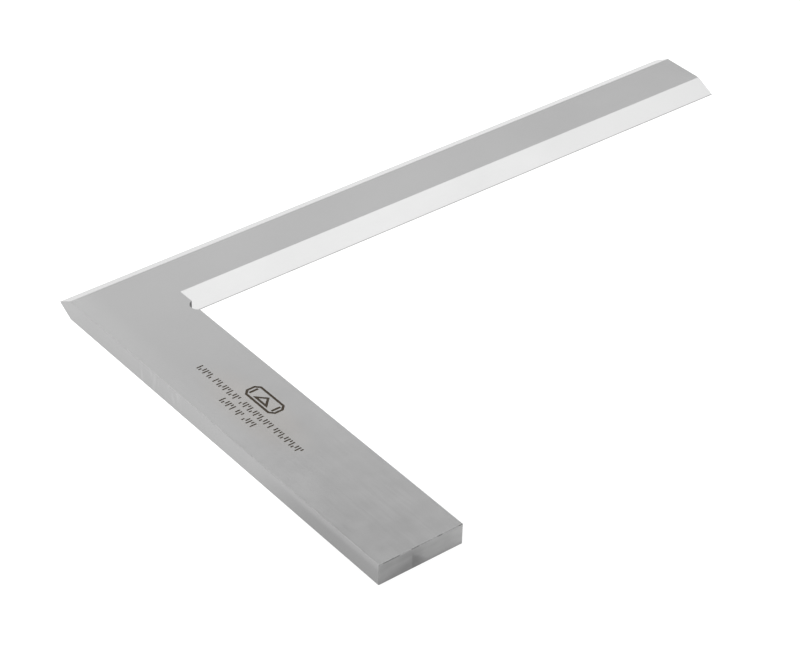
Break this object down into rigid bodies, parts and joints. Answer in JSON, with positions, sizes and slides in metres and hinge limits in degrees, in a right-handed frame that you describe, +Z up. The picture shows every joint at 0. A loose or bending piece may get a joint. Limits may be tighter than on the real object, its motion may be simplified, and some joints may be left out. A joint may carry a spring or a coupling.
{
  "type": "knife-edge square",
  "caption": "Flat steel try square: a long blade bevelled to a knife edge on both sides, let flush into a flat stock at a right angle.",
  "frame": {"origin": "the outer right-angle corner: where the plane of the stock's outer face, the plane through the blade's outer knife edge and the plane the square lies on meet", "axes": "+X along the blade, from the corner to its end; the stock runs along -Y; +Z up through the thickness, with the square lying flat"},
  "size_m": [0.25, 0.16, 0.0072],
  "materials": {
    "ground_steel": "satin"
  },
  "bodies": {
    "root": {"blade": "ground_steel", "stock": "ground_steel"}
  },
  "joints": []
}
